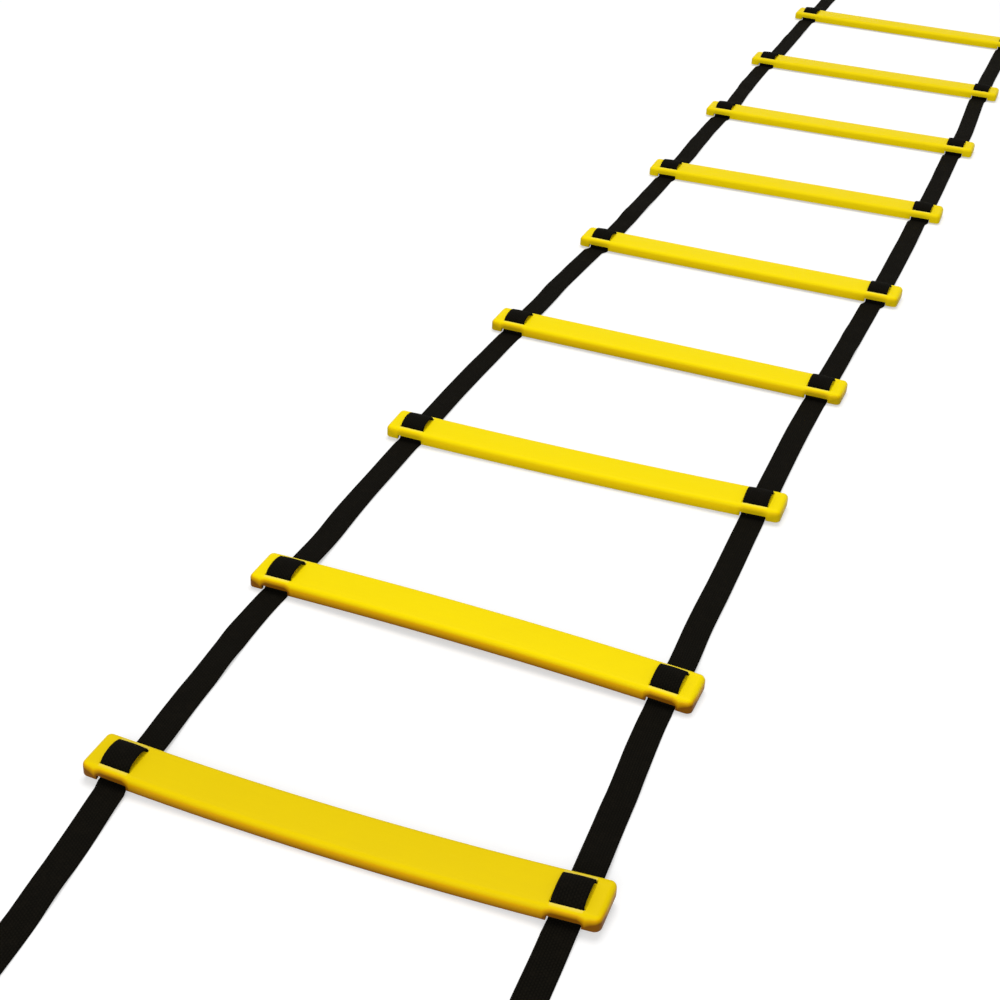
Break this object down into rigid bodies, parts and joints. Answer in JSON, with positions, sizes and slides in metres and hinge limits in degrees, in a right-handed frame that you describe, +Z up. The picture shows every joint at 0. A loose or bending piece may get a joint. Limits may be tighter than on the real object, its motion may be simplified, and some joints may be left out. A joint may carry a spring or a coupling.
{
  "type": "agility ladder",
  "caption": "Flat agility ladder: wide moulded slats threaded on two parallel flat webbing straps that end in sewn loops, laid out on the ground for footwork drills",
  "frame": {"origin": "middle of the footprint, on the ground", "axes": "+Y along the straps away from the near end, +X to the right seen from the near end, +Z up"},
  "size_m": [0.4378, 3.0054, 0.0209],
  "materials": {
    "slat": "moulded, satin",
    "webbing": "woven, matte"
  },
  "bodies": {
    "rung_1": {"rung_1": "slat", "left_strap_rung_1": "webbing", "right_strap_rung_1": "webbing"},
    "rung_2": {"rung_2": "slat", "left_strap_rung_2": "webbing", "right_strap_rung_2": "webbing"},
    "rung_3": {"rung_3": "slat", "left_strap_rung_3": "webbing", "right_strap_rung_3": "webbing"},
    "rung_4": {"rung_4": "slat", "left_strap_rung_4": "webbing", "right_strap_rung_4": "webbing"},
    "rung_5": {"rung_5": "slat", "left_strap_rung_5": "webbing", "right_strap_rung_5": "webbing"},
    "rung_6": {"rung_6": "slat", "left_strap_rung_6": "webbing", "right_strap_rung_6": "webbing"},
    "rung_7": {"rung_7": "slat", "left_strap_rung_7": "webbing", "right_strap_rung_7": "webbing"},
    "rung_8": {"rung_8": "slat", "left_strap_rung_8": "webbing", "right_strap_rung_8": "webbing"},
    "rung_9": {"rung_9": "slat", "left_strap_rung_9": "webbing", "right_strap_rung_9": "webbing"},
    "bay_1_front": {"left_strap_bay_1_front": "webbing", "right_strap_bay_1_front": "webbing"},
    "bay_1_back": {"left_strap_bay_1_back": "webbing", "right_strap_bay_1_back": "webbing"},
    "bay_2_front": {"left_strap_bay_2_front": "webbing", "right_strap_bay_2_front": "webbing"},
    "bay_2_back": {"left_strap_bay_2_back": "webbing", "right_strap_bay_2_back": "webbing"},
    "bay_3_front": {"left_strap_bay_3_front": "webbing", "right_strap_bay_3_front": "webbing"},
    "bay_3_back": {"left_strap_bay_3_back": "webbing", "right_strap_bay_3_back": "webbing"},
    "bay_4_front": {"left_strap_bay_4_front": "webbing", "right_strap_bay_4_front": "webbing"},
    "bay_4_back": {"left_strap_bay_4_back": "webbing", "right_strap_bay_4_back": "webbing"},
    "bay_5_front": {"left_strap_bay_5_front": "webbing", "right_strap_bay_5_front": "webbing"},
    "bay_5_back": {"left_strap_bay_5_back": "webbing", "right_strap_bay_5_back": "webbing"},
    "bay_6_front": {"left_strap_bay_6_front": "webbing", "right_strap_bay_6_front": "webbing"},
    "bay_6_back": {"left_strap_bay_6_back": "webbing", "right_strap_bay_6_back": "webbing"},
    "bay_7_front": {"left_strap_bay_7_front": "webbing", "right_strap_bay_7_front": "webbing"},
    "bay_7_back": {"left_strap_bay_7_back": "webbing", "right_strap_bay_7_back": "webbing"},
    "bay_8_front": {"left_strap_bay_8_front": "webbing", "right_strap_bay_8_front": "webbing"},
    "bay_8_back": {"left_strap_bay_8_back": "webbing", "right_strap_bay_8_back": "webbing"}
  },
  "joints": [
    {"name": "bay_1_lift", "type": "hinge", "parent": "rung_2", "child": "bay_1_back", "pos_m": [0, -0.95446, 0.0016], "axis": [-1, 0, 0], "range_deg": [0, 80]},
    {"name": "bay_1_crease", "type": "hinge", "parent": "bay_1_back", "child": "bay_1_front", "pos_m": [0, -1.06306, 0], "axis": [-1, 0, 0], "range_deg": [-160, 0]},
    {"name": "bay_1_gather", "type": "hinge", "parent": "bay_1_front", "child": "rung_1", "pos_m": [0, -1.17166, 0.0016], "axis": [-1, 0, 0], "range_deg": [0, 80]},
    {"name": "bay_2_lift", "type": "hinge", "parent": "rung_3", "child": "bay_2_back", "pos_m": [0, -0.63826, 0.0016], "axis": [-1, 0, 0], "range_deg": [0, 80]},
    {"name": "bay_2_crease", "type": "hinge", "parent": "bay_2_back", "child": "bay_2_front", "pos_m": [0, -0.76636, 0], "axis": [-1, 0, 0], "range_deg": [-160, 0]},
    {"name": "bay_2_gather", "type": "hinge", "parent": "bay_2_front", "child": "rung_2", "pos_m": [0, -0.89446, 0.0016], "axis": [-1, 0, 0], "range_deg": [0, 80]},
    {"name": "bay_3_lift", "type": "hinge", "parent": "rung_4", "child": "bay_3_back", "pos_m": [0, -0.35386, 0.0016], "axis": [-1, 0, 0], "range_deg": [0, 80]},
    {"name": "bay_3_crease", "type": "hinge", "parent": "bay_3_back", "child": "bay_3_front", "pos_m": [0, -0.46606, 0], "axis": [-1, 0, 0], "range_deg": [-160, 0]},
    {"name": "bay_3_gather", "type": "hinge", "parent": "bay_3_front", "child": "rung_3", "pos_m": [0, -0.57826, 0.0016], "axis": [-1, 0, 0], "range_deg": [0, 80]},
    {"name": "bay_4_lift", "type": "hinge", "parent": "rung_5", "child": "bay_4_back", "pos_m": [0, -0.06346, 0.0016], "axis": [-1, 0, 0], "range_deg": [0, 80]},
    {"name": "bay_4_crease", "type": "hinge", "parent": "bay_4_back", "child": "bay_4_front", "pos_m": [0, -0.17866, 0], "axis": [-1, 0, 0], "range_deg": [-160, 0]},
    {"name": "bay_4_gather", "type": "hinge", "parent": "bay_4_front", "child": "rung_4", "pos_m": [0, -0.29386, 0.0016], "axis": [-1, 0, 0], "range_deg": [0, 80]},
    {"name": "bay_5_lift", "type": "hinge", "parent": "rung_5", "child": "bay_5_front", "pos_m": [0, -0.00346, 0.0016], "axis": [1, 0, 0], "range_deg": [0, 80]},
    {"name": "bay_5_crease", "type": "hinge", "parent": "bay_5_front", "child": "bay_5_back", "pos_m": [0, 0.11894, 0], "axis": [1, 0, 0], "range_deg": [-160, 0]},
    {"name": "bay_5_gather", "type": "hinge", "parent": "bay_5_back", "child": "rung_6", "pos_m": [0, 0.24134, 0.0016], "axis": [1, 0, 0], "range_deg": [0, 80]},
    {"name": "bay_6_lift", "type": "hinge", "parent": "rung_6", "child": "bay_6_front", "pos_m": [0, 0.30134, 0.0016], "axis": [1, 0, 0], "range_deg": [0, 80]},
    {"name": "bay_6_crease", "type": "hinge", "parent": "bay_6_front", "child": "bay_6_back", "pos_m": [0, 0.42179, 0], "axis": [1, 0, 0], "range_deg": [-160, 0]},
    {"name": "bay_6_gather", "type": "hinge", "parent": "bay_6_back", "child": "rung_7", "pos_m": [0, 0.54224, 0.0016], "axis": [1, 0, 0], "range_deg": [0, 80]},
    {"name": "bay_7_lift", "type": "hinge", "parent": "rung_7", "child": "bay_7_front", "pos_m": [0, 0.60224, 0.0016], "axis": [1, 0, 0], "range_deg": [0, 80]},
    {"name": "bay_7_crease", "type": "hinge", "parent": "bay_7_front", "child": "bay_7_back", "pos_m": [0, 0.72449, 0], "axis": [1, 0, 0], "range_deg": [-160, 0]},
    {"name": "bay_7_gather", "type": "hinge", "parent": "bay_7_back", "child": "rung_8", "pos_m": [0, 0.84674, 0.0016], "axis": [1, 0, 0], "range_deg": [0, 80]},
    {"name": "bay_8_lift", "type": "hinge", "parent": "rung_8", "child": "bay_8_front", "pos_m": [0, 0.90674, 0.0016], "axis": [1, 0, 0], "range_deg": [0, 80]},
    {"name": "bay_8_crease", "type": "hinge", "parent": "bay_8_front", "child": "bay_8_back", "pos_m": [0, 1.03934, 0], "axis": [1, 0, 0], "range_deg": [-160, 0]},
    {"name": "bay_8_gather", "type": "hinge", "parent": "bay_8_back", "child": "rung_9", "pos_m": [0, 1.17194, 0.0016], "axis": [1, 0, 0], "range_deg": [0, 80]}
  ],
  "couplings": [
    {"joint": "bay_1_lift", "follows": "bay_1_gather", "ratio": 1},
    {"joint": "bay_1_crease", "follows": "bay_1_gather", "ratio": -2},
    {"joint": "bay_2_lift", "follows": "bay_2_gather", "ratio": 1},
    {"joint": "bay_2_crease", "follows": "bay_2_gather", "ratio": -2},
    {"joint": "bay_3_lift", "follows": "bay_3_gather", "ratio": 1},
    {"joint": "bay_3_crease", "follows": "bay_3_gather", "ratio": -2},
    {"joint": "bay_4_lift", "follows": "bay_4_gather", "ratio": 1},
    {"joint": "bay_4_crease", "follows": "bay_4_gather", "ratio": -2},
    {"joint": "bay_5_lift", "follows": "bay_5_gather", "ratio": 1},
    {"joint": "bay_5_crease", "follows": "bay_5_gather", "ratio": -2},
    {"joint": "bay_6_lift", "follows": "bay_6_gather", "ratio": 1},
    {"joint": "bay_6_crease", "follows": "bay_6_gather", "ratio": -2},
    {"joint": "bay_7_lift", "follows": "bay_7_gather", "ratio": 1},
    {"joint": "bay_7_crease", "follows": "bay_7_gather", "ratio": -2},
    {"joint": "bay_8_lift", "follows": "bay_8_gather", "ratio": 1},
    {"joint": "bay_8_crease", "follows": "bay_8_gather", "ratio": -2}
  ]
}
